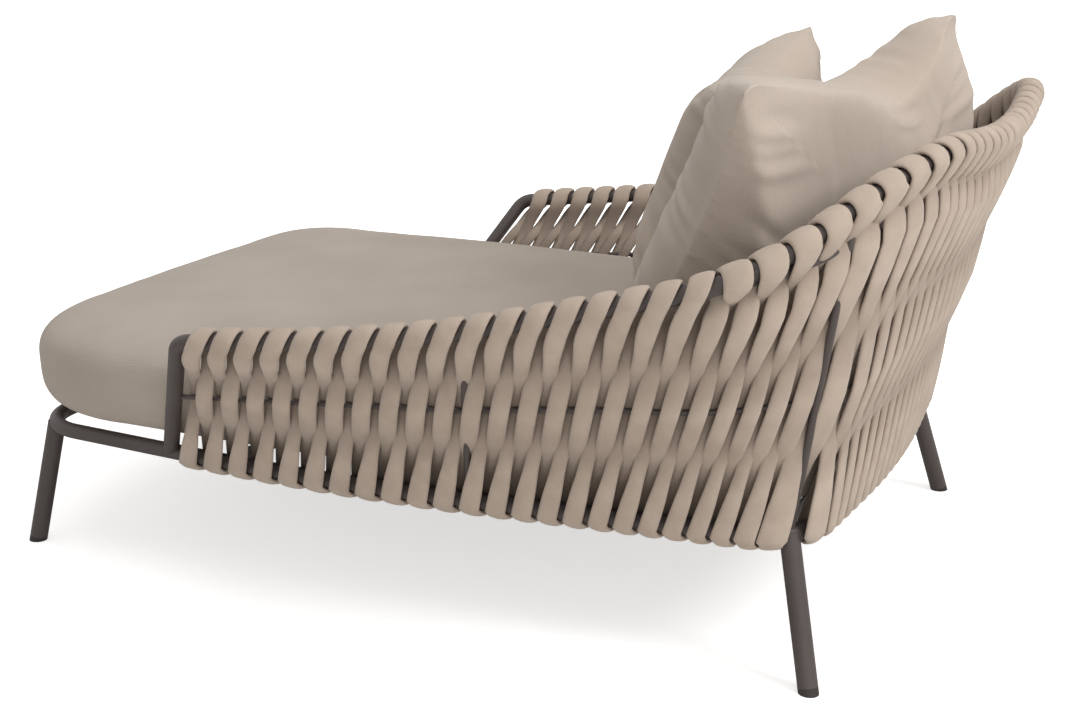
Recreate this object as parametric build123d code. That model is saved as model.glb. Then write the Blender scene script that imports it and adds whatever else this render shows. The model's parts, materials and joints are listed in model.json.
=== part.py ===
from build123d import *
import os
from math import cos, radians, sqrt, tan

# Outdoor daybed. Millimetres, +Z up, the sitter faces -Y and +X is on the sitter's left.
# The origin lies on the floor, midway along the overall length and width.

# Fits and clearances
weld_gap = 0.2
rest_gap = 0.3
wrap_gap = 0.3
plug_gap = 0.1
settling_steps = 3
facing_share = 0.3
overrun = 12.0

# Base ring: a bent round tube whose centre line follows these corners
rail_diameter = 30.0
rail_wall = 2.0
base_height = 250.0
base_front_reach = 860.0
base_front_bow = 22.0
base_front_half_width = 515.0
base_side_half_width = 570.0
base_side_reach = 115.0
base_back_half_width = 487.0
base_back_reach = 760.0
base_back_bow = 40.0
base_corner_radius = 118.0

# Legs: splayed round tubes closed by floor glides
leg_diameter = 35.0
leg_wall = 2.5
front_foot_spread = 2.0
back_foot_spread = 41.0
foot_setback = 3.0
glide_height = 9.0
glide_stem_length = 22.0

# Top rail: rises as a leaning front post, runs along the arm, climbs round the corner and crosses the back
post_setback = 240.0
post_bend_radius = 42.0
arm_half_width = 715.0
arm_front_reach = 335.0
arm_front_height = 526.0
arm_middle_reach = 118.0
arm_middle_height = 579.0
climb_start_reach = 691.0
climb_start_height = 733.0
climb_end_half_width = 511.0
climb_end_reach = 900.0
climb_end_height = 907.0
back_reach = 937.0
back_height = 864.0
climb_bend_radius = 330.0

# Thin rails and uprights inside the woven wall
middle_rail_diameter = 10.0
upper_rail_diameter = 18.0
upright_diameter = 14.0
side_upright_base_belt = 10.8
side_upright_top_belt = 9.6
corner_upright_top_belt = 22.2
middle_rail_stations = (0.0, 4.0, 8.0, 12.0, 15.5, 18.0, 20.0, 21.5, 24.5, 26.0, 28.0, 31.0, 34.0)
middle_rail_height_shares = (0.565, 0.565, 0.56, 0.54, 0.52, 0.49, 0.455, 0.435, 0.43, 0.445, 0.465, 0.475, 0.48)
upper_rail_stations = (17.5, 19.5, 21.0, 22.5, 24.0, 26.0, 29.0)
upper_rail_height_shares = (1.0, 0.945, 0.915, 0.885, 0.865, 0.85, 0.84, 0.835)

# Woven belts: each is a closed loop round the base ring and the top rail
belts_per_half = 34
belts_ahead_of_leg = 24
belt_top_width = 40.0
belt_base_width = 32.0
belt_thickness = 9.0
belt_base_setback = 60.0
belt_top_setback = 23.0
belt_crowding_share = 0.2
belt_leg_gap = 2.0
belt_station_shares = (0.0, 0.25, 0.5, 0.75, 1.0)
arm_belt_count = 17
corner_belt_count = 10

# Seat deck: cross bars whose narrowed ends reach the base ring between two belts, and flat slats on them
cross_bar_stations = (1.5, 7.5, 13.5, 23.5)
cross_bar_thickness = 5.0
cross_bar_height = 30.0
cross_bar_tongue_height = 12.0
cross_bar_tongue_length = 48.0
slat_width = 50.0
slat_thickness = 6.0
slat_pitch = 98.0
slats_per_half = 4

# Seat cushion
cushion_thickness = 210.0
cushion_front_overhang = 76.0
cushion_front_bow = 28.0
cushion_front_side_overhang = 45.0
cushion_side_overhang = 17.0
cushion_side_reach = 150.0
cushion_back_clearance = 8.0
cushion_back_bow = 33.0
cushion_front_radius = 285.0
cushion_back_radius = 150.0
cushion_side_flare = 38.0
cushion_back_flare = 16.0
cushion_edge_draw = 300.0
cushion_height_shares = (0.0, 0.085, 0.26, 0.45, 0.64, 0.80, 0.90, 0.955, 0.985, 1.0)
cushion_inset_shares = (0.127, 0.027, 0.0, 0.0, 0.02, 0.073, 0.173, 0.33, 0.60, 1.0)
cushion_radius_draw_share = 0.5

# Loose pillows
rear_pillow_width = 770.0
rear_pillow_height = 594.0
rear_pillow_thickness = 289.0
rear_pillow_across = 202.0
rear_pillow_reach = 619.0
rear_pillow_lean = 29.7
rear_pillow_turn = 12.5
rear_pillow_roll = 5.8
front_pillow_width = 490.0
front_pillow_height = 506.0
front_pillow_thickness = 224.0
front_pillow_across = -148.0
front_pillow_reach = 345.0
front_pillow_lean = 22.5
front_pillow_turn = -2.8
front_pillow_roll = 9.3
pillow_side_draw = 40.0
pillow_corner_radius = 22.0
pillow_depth_shares = (0.0, 0.33, 0.62, 0.84, 0.96, 1.0)
pillow_outline_shares = (1.0, 0.93, 0.83, 0.69, 0.52, 0.32)

# Long gentle bends take this share of the shorter run beside them
gentle_share = 0.45

rail_radius = rail_diameter / 2
leg_radius = leg_diameter / 2


def mirrored(point):
    """The same point on the sitter's right."""
    return Vector(-point.X, point.Y, point.Z)


def rounded(before, corner, after, radius):
    """Start, middle and end of the arc that rounds a corner; a radius of None makes it long and gentle."""
    back = (before - corner).normalized()
    ahead = (after - corner).normalized()
    half_turn = radians((180 - back.get_angle(ahead)) / 2)
    if radius is None:
        run = min((before - corner).length, (after - corner).length)
        radius = gentle_share * run / tan(half_turn)
    inward = (back + ahead).normalized()
    centre = corner + inward * (radius / cos(half_turn))
    reach = radius * tan(half_turn)
    return corner + back * reach, centre - inward * radius, corner + ahead * reach


def open_path(points, radii):
    """Straight runs joined by tangent arcs, from the first point to the last."""
    edges = []
    start = points[0]
    for index, radius in enumerate(radii):
        first, middle, last = rounded(*points[index:index + 3], radius)
        edges.append(Edge.make_line(start, first))
        edges.append(Edge.make_three_point_arc(first, middle, last))
        start = last
    edges.append(Edge.make_line(start, points[-1]))
    return edges


def closed_path(points, radii):
    """A closed ring of runs and arcs: the run after the first corner, the second corner's arc, and so on."""
    count = len(points)
    arcs = []
    for index, radius in enumerate(radii):
        neighbours = points[index - 1], points[index], points[(index + 1) % count]
        arcs.append(rounded(*neighbours, radius))
    edges = []
    for index in range(count):
        first, middle, last = arcs[(index + 1) % count]
        edges.append(Edge.make_line(arcs[index][2], first))
        edges.append(Edge.make_three_point_arc(first, middle, last))
    return edges


def length_of(edges):
    return sum(edge.length for edge in edges)


def along(edges, distance):
    """Point and direction at a distance along a path."""
    for edge in edges:
        if distance <= edge.length:
            break
        distance -= edge.length
    share = min(distance / edge.length, 1.0)
    return edge @ share, edge % share


def bar(edges, diameter):
    """Solid round bar along a path."""
    path = Wire(edges)
    section = Plane(origin=path @ 0, z_dir=path % 0) * Circle(diameter / 2)
    return sweep(section, path=path)


def tube(edges, diameter, wall):
    """Hollow round tube along a path."""
    return bar(edges, diameter) - bar(edges, diameter - 2 * wall)


def rod(start, end, diameter):
    """Straight round bar between two points."""
    return bar([Edge.make_line(start, end)], diameter)


def largest(shape):
    return shape.solids().sort_by(SortBy.VOLUME)[-1]


def write(name, shape):
    export_step(shape, os.path.join("parts", name + ".step"))


# Centre line of the base ring, left half first
base_corners = [
    Vector(0, -base_front_reach, base_height),
    Vector(base_front_half_width, base_front_bow - base_front_reach, base_height),
    Vector(base_side_half_width, -base_side_reach, base_height),
    Vector(base_back_half_width, base_back_reach - base_back_bow, base_height),
    Vector(0, base_back_reach, base_height),
]
base_corners += [mirrored(point) for point in reversed(base_corners[1:4])]
base_radii = [None, base_corner_radius, None, base_corner_radius] * 2
base_ring = closed_path(base_corners, base_radii)
base_front_edges = base_ring[13:] + base_ring[:2]
base_left_edges = base_ring[2:5]
base_back_edges = base_ring[5:10]
base_right_edges = base_ring[10:13]
base_side_start = length_of(base_ring[:2])
base_back_middle = length_of(base_ring[:7]) + base_ring[7].length / 2

# Centre line of the top rail, from the left post's foot to the right post's foot
post_foot, post_foot_direction = along(base_ring, base_side_start + post_setback)
top_corners = [
    post_foot,
    Vector(arm_half_width, -arm_front_reach, arm_front_height),
    Vector(arm_half_width, arm_middle_reach, arm_middle_height),
    Vector(arm_half_width, climb_start_reach, climb_start_height),
    Vector(climb_end_half_width, climb_end_reach, climb_end_height),
    Vector(0, back_reach, back_height),
]
top_corners += [mirrored(point) for point in reversed(top_corners[:5])]
half_top_radii = [post_bend_radius, None, climb_bend_radius, climb_bend_radius]
top_radii = half_top_radii + [None] + half_top_radii[::-1]
top_path = open_path(top_corners, top_radii)
top_left_edges = top_path[:5]
top_back_edges = top_path[5:14]
top_arm_start = length_of(top_path[:2])
top_back_middle = length_of(top_path) / 2

base_first_belt = base_side_start + post_setback + belt_base_setback
base_leg = length_of(base_ring[:5]) + base_ring[5].length / 2
base_leg_half_gap = (leg_diameter + belt_base_width) / 2 + belt_leg_gap
top_first_belt = top_arm_start + belt_top_setback


def base_distance(index):
    """Distance along the base ring to a belt, counted from the wall's front edge; the leg parts two belts."""
    last_ahead = belts_ahead_of_leg - 1
    if index > belts_ahead_of_leg:
        start = base_leg + base_leg_half_gap
        share = (index - belts_ahead_of_leg) / (belts_per_half - belts_ahead_of_leg)
        return start + (base_back_middle - start) * share
    if index > last_ahead:
        return base_leg + base_leg_half_gap * (2 * (index - last_ahead) - 1)
    share = index / last_ahead
    share += belt_crowding_share * share * (1 - share)
    return base_first_belt + (base_leg - base_leg_half_gap - base_first_belt) * share


def top_distance(index):
    """Distance along the top rail to a belt."""
    return top_first_belt + (top_back_middle - top_first_belt) * index / belts_per_half


def wall_point(index, height_share):
    """Point in the middle of the woven wall, beside a belt and at a share of the wall's height."""
    low, low_direction = along(base_ring, base_distance(index))
    high, high_direction = along(top_path, top_distance(index))
    return low + (high - low) * height_share


def middle_share(index):
    """Share of the wall's height at which the middle rail passes a belt."""
    table = list(zip(middle_rail_stations, middle_rail_height_shares))
    for (first, low), (last, high) in zip(table, table[1:]):
        if index <= last:
            break
    return low + (high - low) * (index - first) / (last - first)


def middle_point(index):
    return wall_point(index, middle_share(index))


def across(points):
    """Left half of a path, completed by its mirror image; the last point is the middle one."""
    return points + [mirrored(point) for point in reversed(points[:-1])]


def smooth_path(points):
    return open_path(points, [None] * (len(points) - 2))


def upper_rail_edges():
    heights = zip(upper_rail_stations + (belts_per_half,), upper_rail_height_shares)
    return smooth_path(across([wall_point(station, share) for station, share in heights]))


def build_base():
    write("base_front_tube", tube(base_front_edges, rail_diameter, rail_wall))
    write("base_left_tube", tube(base_left_edges, rail_diameter, rail_wall))
    write("base_back_tube", tube(base_back_edges, rail_diameter, rail_wall))
    write("base_right_tube", tube(base_right_edges, rail_diameter, rail_wall))


def build_legs(base_front_bar, base_back_bar):
    front_foot = Vector(base_front_half_width + front_foot_spread, foot_setback - base_front_reach, 0)
    back_foot = Vector(base_back_half_width + back_foot_spread, base_back_reach - foot_setback, 0)
    corners = {
        "front_left": (base_ring[1] @ 0.5, front_foot),
        "back_left": (base_ring[5] @ 0.5, back_foot),
    }
    floor = Box(leg_diameter * 4, leg_diameter * 4, leg_diameter, align=(Align.CENTER, Align.CENTER, Align.MAX))
    for name, (top, foot) in corners.items():
        up = (top - foot).normalized()
        neck = foot + up * glide_height
        saddle = base_front_bar if name.startswith("front") else base_back_bar
        leg = tube([Edge.make_line(neck, top)], leg_diameter, leg_wall) - saddle
        pad = rod(foot - up * overrun, neck, leg_diameter) - Pos(foot) * floor
        stem_diameter = leg_diameter - 2 * leg_wall - 2 * plug_gap
        glide = pad + rod(neck, neck + up * glide_stem_length, stem_diameter)
        other = name.replace("left", "right")
        leg = largest(leg)
        write(name + "_leg", leg)
        write(other + "_leg", leg.mirror(Plane.YZ))
        write(name + "_glide", glide)
        write(other + "_glide", glide.mirror(Plane.YZ))


def build_top_rail(base_side_bar):
    left = largest(tube(top_left_edges, rail_diameter, rail_wall) - base_side_bar)
    write("left_arm_rail", left)
    write("right_arm_rail", left.mirror(Plane.YZ))
    write("back_top_rail", tube(top_back_edges, rail_diameter, rail_wall))


def upright_ends():
    """Foot and head of the side upright and of the corner upright, on the rails' centre lines."""
    side_foot, direction = along(base_ring, base_distance(side_upright_base_belt))
    side_head, direction = along(top_path, top_distance(side_upright_top_belt))
    corner_head, direction = along(top_path, top_distance(corner_upright_top_belt))
    return (side_foot, side_head), (base_ring[5] @ 0.5, corner_head)


def build_uprights(base_left_bar, base_back_bar, top_bar, upper_bar):
    (side_foot, side_head), (corner_foot, corner_head) = upright_ends()
    side = largest(rod(side_foot, side_head, upright_diameter) - base_left_bar - top_bar)
    corner = rod(corner_foot, corner_head, upright_diameter) - base_back_bar - top_bar - upper_bar
    write("left_side_upright", side)
    write("right_side_upright", side.mirror(Plane.YZ))
    write("left_corner_upright", Compound(corner.solids()))
    write("right_corner_upright", Compound(corner.mirror(Plane.YZ).solids()))


def build_thin_rails(upper_edges, top_bar):
    write("upper_back_rail", largest(bar(upper_edges, upper_rail_diameter) - top_bar))
    side_ends, corner_ends = upright_ends()
    post = rod(top_path[0] @ 0, top_path[0] @ 1, rail_diameter + 2 * weld_gap)
    side_cutter = rod(*side_ends, upright_diameter + 2 * weld_gap)
    corner_cutter = rod(*corner_ends, upright_diameter + 2 * weld_gap)
    front_point = post_foot + (top_path[0] @ 1 - post_foot) * middle_share(0)
    side_station = (side_upright_base_belt + side_upright_top_belt) / 2
    corner_station = (belts_ahead_of_leg + corner_upright_top_belt) / 2
    side_point = side_ends[0] + (side_ends[1] - side_ends[0]) * middle_share(side_station)
    corner_point = corner_ends[0] + (corner_ends[1] - corner_ends[0]) * middle_share(corner_station)
    ahead = [station for station in middle_rail_stations if 1 < station < side_station - 1]
    between = [station for station in middle_rail_stations if side_station + 1 < station < corner_station - 1]
    behind = [station for station in middle_rail_stations if station > corner_station + 1]
    front_run = [front_point] + [middle_point(station) for station in ahead] + [side_point]
    corner_run = [side_point] + [middle_point(station) for station in between] + [corner_point]
    back_run = across([corner_point] + [middle_point(station) for station in behind])
    front = largest(bar(smooth_path(front_run), middle_rail_diameter) - post - side_cutter)
    corner = largest(bar(smooth_path(corner_run), middle_rail_diameter) - side_cutter - corner_cutter)
    back = bar(smooth_path(back_run), middle_rail_diameter)
    back = largest(back - corner_cutter - corner_cutter.mirror(Plane.YZ))
    write("left_arm_middle_rail", front)
    write("right_arm_middle_rail", front.mirror(Plane.YZ))
    write("left_corner_middle_rail", corner)
    write("right_corner_middle_rail", corner.mirror(Plane.YZ))
    write("back_middle_rail", back)


def racetrack(high, low, up, out, radius):
    """Closed outline: two half circles, one above the other, joined by straight runs."""
    slant = radius / sqrt(2)
    edges = [
        Edge.make_line(low + out * radius, high + out * radius),
        Edge.make_three_point_arc(high + out * radius, high + (out + up) * slant, high + up * radius),
        Edge.make_three_point_arc(high + up * radius, high + (up - out) * slant, high - out * radius),
        Edge.make_line(high - out * radius, low - out * radius),
        Edge.make_three_point_arc(low - out * radius, low - (out + up) * slant, low - up * radius),
        Edge.make_three_point_arc(low - up * radius, low + (out - up) * slant, low + out * radius),
    ]
    return Wire(edges)


def belt_fit(path, distance, width, frames, ends):
    """How far a rail reaches from the middle of the belt that passes round it, where it bends or crosses at a slant."""
    (first_up, first_out), (last_up, last_out) = frames
    reaches = []
    for share in belt_station_shares:
        point, direction = along(path, distance + (share - 0.5) * width)
        up = first_up + (last_up - first_up) * share
        out = first_out + (last_out - first_out) * share
        normal = up.cross(out).normalized()
        slip = point - ends[0] - (ends[1] - ends[0]) * share
        slip -= direction * (slip.dot(normal) / direction.dot(normal))
        reaches.append(slip.length + rail_radius / abs(direction.dot(normal)))
    return max(reaches)


def belt(index):
    """One belt: a flat loop that passes over the top rail and under the base ring."""
    lows = []
    highs = []
    frames = []
    for side in (-0.5, 0.5):
        low, low_direction = along(base_ring, base_distance(index) + side * belt_base_width)
        high, high_direction = along(top_path, top_distance(index) + side * belt_top_width)
        up = (high - low).normalized()
        lows.append(low)
        highs.append(high)
        frames.append((up, up.cross((high_direction + low_direction).normalized()).normalized()))
    top_fit = belt_fit(top_path, top_distance(index), belt_top_width, frames, highs)
    base_fit = belt_fit(base_ring, base_distance(index), belt_base_width, frames, lows)
    radius = max(top_fit, base_fit) + wrap_gap
    ends = list(zip(lows, highs, frames))
    inner = [racetrack(high, low, up, out, radius) for low, high, (up, out) in ends]
    outer = [racetrack(high, low, up, out, radius + belt_thickness) for low, high, (up, out) in ends]
    return Solid.make_loft(outer, True) - Solid.make_loft(inner, True)


def build_belts():
    left = [belt(index) for index in range(belts_per_half)]
    right = [piece.mirror(Plane.YZ) for piece in left]
    corner_end = arm_belt_count + corner_belt_count
    for side, belts in (("left", left), ("right", right)):
        write(side + "_arm_belts", Compound(belts[:arm_belt_count]))
        write(side + "_corner_belts", Compound(belts[arm_belt_count:corner_end]))
    write("back_belts", Compound(left[corner_end:] + [belt(belts_per_half)] + right[corner_end:]))


def build_deck(base_side_bars, base_back_bar):
    top = base_height + rail_radius
    aligned = (Align.CENTER, Align.CENTER, Align.MAX)
    for number, station in enumerate(cross_bar_stations, start=1):
        place, direction = along(base_ring, base_distance(station))
        reach = place.Y + direction.X * (rail_radius + belt_thickness / 2)
        body_length = 2 * (place.X - cross_bar_tongue_length)
        cross = Box(body_length, cross_bar_thickness, cross_bar_height, align=aligned)
        cross += Box(2 * place.X, cross_bar_thickness, cross_bar_tongue_height, align=aligned)
        cross = Pos(0, reach, top) * cross
        for rail in base_side_bars + [base_back_bar]:
            cross -= rail
        write("cross_bar_%d" % number, largest(cross))
    rear = reach + cross_bar_thickness / 2
    plan = Face(Wire(base_ring))
    sheet = extrude(Pos(0, 0, rail_radius + rest_gap) * plan, slat_thickness, dir=(0, 0, 1))
    slats = []
    for number in range(-slats_per_half, slats_per_half + 1):
        length = rear + 2 * base_front_reach
        strip = Box(slat_width, length, 4 * rail_diameter, align=(Align.CENTER, Align.MAX, Align.CENTER))
        slats += (sheet & Pos(number * slat_pitch, rear, base_height) * strip).solids()
    write("seat_slats", Compound(slats))


def cushion_section(height_share, inset_share):
    """Rounded outline of the seat cushion at one level; its sides lean outwards like the wall."""
    height = base_height + rail_radius + slat_thickness + 2 * rest_gap + cushion_thickness * height_share
    inset = cushion_edge_draw * inset_share
    side_shift = cushion_side_flare * (2 * height_share - 1) - inset
    back_shift = cushion_back_flare * (2 * height_share - 1) - inset
    front_reach = base_front_reach + cushion_front_overhang - inset
    front_half_width = base_front_half_width + cushion_front_side_overhang + side_shift
    side_half_width = base_side_half_width + cushion_side_overhang + side_shift
    back_half_width = base_back_half_width - cushion_back_clearance + back_shift
    back_reach_here = base_back_reach - cushion_back_clearance + back_shift
    corners = [
        Vector(0, -front_reach, height),
        Vector(front_half_width, cushion_front_bow - front_reach, height),
        Vector(side_half_width, -cushion_side_reach, height),
        Vector(back_half_width, back_reach_here - cushion_back_bow, height),
        Vector(0, back_reach_here, height),
    ]
    corners += [mirrored(point) for point in reversed(corners[1:4])]
    tightening = 1 - cushion_radius_draw_share * inset_share
    radii = [None, cushion_front_radius * tightening, None, cushion_back_radius * tightening] * 2
    return Wire(closed_path(corners, radii))


def build_seat_cushion():
    levels = zip(cushion_height_shares, cushion_inset_shares)
    cushion = Solid.make_loft([cushion_section(*level) for level in levels], True)
    write("seat_cushion", cushion)
    return cushion


def pillow_section(width, height, depth, outline_share):
    """Outline of a pillow at one depth: drawn-in sides between its corners."""
    half_width = width / 2 * outline_share
    half_height = height / 2 * outline_share
    draw = pillow_side_draw * outline_share
    corners = [
        Vector(half_width, -half_height, depth),
        Vector(half_width - draw, 0, depth),
        Vector(half_width, half_height, depth),
        Vector(0, half_height - draw, depth),
        Vector(-half_width, half_height, depth),
        Vector(draw - half_width, 0, depth),
        Vector(-half_width, -half_height, depth),
        Vector(0, draw - half_height, depth),
    ]
    radii = [pillow_corner_radius * outline_share, None] * 4
    return Wire(closed_path(corners, radii))


def pillow(width, height, thickness, lean, turn, roll):
    """Pillow standing nearly upright on the seat: leaning back, turned, and rolled onto one corner."""
    layers = [(-depth, outline) for depth, outline in zip(pillow_depth_shares[:0:-1], pillow_outline_shares[:0:-1])]
    layers += zip(pillow_depth_shares, pillow_outline_shares)
    sections = [pillow_section(width, height, thickness / 2 * depth, outline) for depth, outline in layers]
    shape = Solid.make_loft(sections, True)
    return Rot(0, 0, -turn) * Rot(90 - lean, 0, 0) * Rot(0, 0, -roll) * shape


def facing(shape, direction):
    """The faces of a shape that look one way, or nearly."""
    return Compound([face for face in shape.faces() if face.normal_at().dot(direction) > -facing_share])


def settled(piece, support, direction):
    """Moves a piece until it lies just clear of what carries it."""
    under = facing(piece, direction)
    bed = facing(support, -direction)
    travel = Vector(0, 0, 0)
    for step in range(settling_steps):
        travel += direction * ((Pos(*travel) * under).distance_to(bed) - rest_gap)
    return Pos(*travel) * piece


def build_pillows(cushion):
    down = Vector(0, 0, -1)
    back = Vector(0, 1, 0)
    start = base_height + 2 * cushion_thickness + rear_pillow_height / 2
    rear_size = (rear_pillow_width, rear_pillow_height, rear_pillow_thickness)
    rear = pillow(*rear_size, rear_pillow_lean, rear_pillow_turn, rear_pillow_roll)
    rear = settled(Pos(rear_pillow_across, rear_pillow_reach, start) * rear, cushion, down)
    front_size = (front_pillow_width, front_pillow_height, front_pillow_thickness)
    front = pillow(*front_size, front_pillow_lean, front_pillow_turn, front_pillow_roll)
    front = settled(Pos(front_pillow_across, front_pillow_reach, start) * front, cushion, down)
    write("rear_pillow", rear)
    write("front_pillow", settled(front, rear, back))


def build():
    os.makedirs("parts", exist_ok=True)
    saddle_diameter = rail_diameter + 2 * weld_gap
    base_front_bar = bar(base_front_edges, saddle_diameter)
    base_left_bar = bar(base_left_edges, saddle_diameter)
    base_right_bar = base_left_bar.mirror(Plane.YZ)
    base_back_bar = bar(base_back_edges, saddle_diameter)
    top_bar = bar(top_path[1:-1], saddle_diameter)
    upper_edges = upper_rail_edges()
    upper_bar = bar(upper_edges, upper_rail_diameter + 2 * weld_gap)
    build_base()
    build_legs(base_front_bar, base_back_bar)
    build_top_rail(base_left_bar)
    build_uprights(base_left_bar, base_back_bar, top_bar, upper_bar)
    build_thin_rails(upper_edges, top_bar)
    build_belts()
    build_deck([base_left_bar, base_right_bar], base_back_bar)
    build_pillows(build_seat_cushion())


build()
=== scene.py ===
import json
import logging
import math
from dataclasses import dataclass, field
from enum import Enum
from typing import ClassVar

import bpy
import numpy as np
from mathutils import Euler, Matrix, Vector
from mathutils.bvhtree import BVHTree

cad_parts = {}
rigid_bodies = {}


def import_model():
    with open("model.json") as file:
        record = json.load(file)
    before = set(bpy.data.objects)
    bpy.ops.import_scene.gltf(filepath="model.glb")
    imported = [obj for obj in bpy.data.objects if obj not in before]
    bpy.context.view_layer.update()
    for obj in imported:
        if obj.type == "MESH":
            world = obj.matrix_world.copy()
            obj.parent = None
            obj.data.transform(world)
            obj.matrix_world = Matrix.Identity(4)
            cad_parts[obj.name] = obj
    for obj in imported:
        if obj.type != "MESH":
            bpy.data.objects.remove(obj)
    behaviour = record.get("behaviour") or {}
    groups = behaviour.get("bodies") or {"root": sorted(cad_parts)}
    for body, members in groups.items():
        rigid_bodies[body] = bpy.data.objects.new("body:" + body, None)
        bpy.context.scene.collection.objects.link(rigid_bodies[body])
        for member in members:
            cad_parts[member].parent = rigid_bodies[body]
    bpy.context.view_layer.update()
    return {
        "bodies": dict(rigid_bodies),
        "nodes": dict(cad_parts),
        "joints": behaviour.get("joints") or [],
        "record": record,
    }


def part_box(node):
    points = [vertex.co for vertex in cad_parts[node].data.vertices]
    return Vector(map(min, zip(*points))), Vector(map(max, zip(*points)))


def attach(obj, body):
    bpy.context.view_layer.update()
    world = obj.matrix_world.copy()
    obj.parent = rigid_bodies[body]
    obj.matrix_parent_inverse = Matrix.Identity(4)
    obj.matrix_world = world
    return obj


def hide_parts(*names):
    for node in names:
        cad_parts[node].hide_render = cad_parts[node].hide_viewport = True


LOG = logging.getLogger("daybed")
WHITE = (1.0, 1.0, 1.0, 1.0)
# A wave texture of scale 1 repeats every 0.314 m.
WAVE_PERIOD = 0.314


class Half(Enum):
    """Which half of the mirrored frame a piece stands in."""

    LEFT = 1
    RIGHT = -1


class Strand(Enum):
    """The two sides of a belt's loop: the one outside at the base ring, and the one inside there."""

    OUTER = 1
    INNER = -1


def linear(colour: str) -> tuple[float, float, float, float]:
    """Turns an sRGB hex value into the linear colour that a shader takes.

    Args:
        colour: six hex digits.

    Returns:
        Red, green, blue and an alpha of one.
    """
    shares = [int(colour[place:place + 2], 16) / 255 for place in (0, 2, 4)]
    values = [share / 12.92 if share <= 0.04045 else ((share + 0.055) / 1.055) ** 2.4 for share in shares]
    return values[0], values[1], values[2], 1.0


def add_node(owner: bpy.types.Material | bpy.types.World, kind: str, settings: dict,
             links: dict | None = None) -> bpy.types.Node:
    """Adds one shader node.

    Args:
        owner: the material or world that gets it.
        kind: the node's type name.
        settings: attributes by name, and unlinked inputs by their name or number.
        links: output sockets to join to inputs, by the input's name or number.

    Returns:
        The new node.
    """
    node = owner.node_tree.nodes.new(kind)
    for name, value in settings.items():
        if isinstance(name, str) and hasattr(node, name):
            setattr(node, name, value)
        else:
            node.inputs[name].default_value = value
    for name, socket in (links or {}).items():
        owner.node_tree.links.new(socket, node.inputs[name])
    return node


def new_material(name: str) -> bpy.types.Material:
    """Adds an empty node material.

    Args:
        name: the material's name.

    Returns:
        The material.
    """
    material = bpy.data.materials.new(name)
    material.use_nodes = True
    material.node_tree.nodes.clear()
    return material


def two_tones(material: bpy.types.Material, dark: str, light: str,
              pattern: bpy.types.NodeSocket) -> bpy.types.NodeSocket:
    """Mixes two close colours by a pattern, whose middle range is stretched to the full mix.

    Args:
        material: the material that the mix belongs to.
        dark: hex colour where the pattern is low.
        light: hex colour where the pattern is high.
        pattern: the socket that steers the mix.

    Returns:
        The mixed colour's socket.
    """
    share = add_node(material, "ShaderNodeMapRange", {"From Min": 0.2, "From Max": 0.8}, {"Value": pattern})
    mix = add_node(material, "ShaderNodeMix", {"data_type": "RGBA", "A": linear(dark), "B": linear(light)},
                   {"Factor": share.outputs["Result"]})
    return mix.outputs[2]


def finish_surface(material: bpy.types.Material, colour: bpy.types.NodeSocket, relief: bpy.types.NodeSocket,
                   relief_settings: dict, shader_settings: dict) -> bpy.types.Material:
    """Ends a material in a dielectric shader over a fine relief.

    Args:
        material: the material to end.
        colour: its colour's socket.
        relief: its relief's height.
        relief_settings: how strong the relief is, and how deep in metres.
        shader_settings: the shader's even values by socket.

    Returns:
        The material.
    """
    bump = add_node(material, "ShaderNodeBump", relief_settings, {"Height": relief})
    shader = add_node(material, "ShaderNodeBsdfPrincipled", shader_settings,
                      {"Base Color": colour, "Normal": bump.outputs["Normal"]})
    add_node(material, "ShaderNodeOutputMaterial", {}, {"Surface": shader.outputs["BSDF"]})
    return material


@dataclass(frozen=True)
class PowderCoat:
    """Polyester powder coat baked on bent tube: an even dark skin with a fine matt grain and no brush lines."""

    name: str = "powder_coated_tube"
    dark: str = "413936"
    light: str = "524946"
    grain: float = 0.0016
    roughness: float = 0.52

    def material(self) -> bpy.types.Material:
        """Builds the coating; the grain is drawn about twice as coarse as the real one so that it shows.

        Returns:
            The material.
        """
        coat = new_material(self.name)
        place = add_node(coat, "ShaderNodeTexCoord", {}).outputs["Object"]
        cloud = add_node(coat, "ShaderNodeTexNoise", {"Scale": 6.0, "Detail": 3.0}, {"Vector": place})
        grain = add_node(coat, "ShaderNodeTexNoise", {"Scale": 1 / self.grain, "Detail": 2.0}, {"Vector": place})
        colour = two_tones(coat, self.dark, self.light, cloud.outputs["Fac"])
        return finish_surface(coat, colour, grain.outputs["Fac"], {"Strength": 0.25, "Distance": 0.0004},
                              {"Roughness": self.roughness, "IOR": 1.5})


@dataclass(frozen=True)
class MouldedPlastic:
    """Injection-moulded polyethylene: dull, slightly waxy, with a faint mould texture."""

    name: str = "moulded_polyethylene"
    dark: str = "26211f"
    light: str = "332d2a"
    roughness: float = 0.6

    def material(self) -> bpy.types.Material:
        """Builds the plastic of the floor glides.

        Returns:
            The material.
        """
        plastic = new_material(self.name)
        place = add_node(plastic, "ShaderNodeTexCoord", {}).outputs["Object"]
        grain = add_node(plastic, "ShaderNodeTexNoise", {"Scale": 700.0, "Detail": 2.0}, {"Vector": place})
        colour = two_tones(plastic, self.dark, self.light, grain.outputs["Fac"])
        return finish_surface(plastic, colour, grain.outputs["Fac"], {"Strength": 0.2, "Distance": 0.0003},
                              {"Roughness": self.roughness, "IOR": 1.5})


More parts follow.
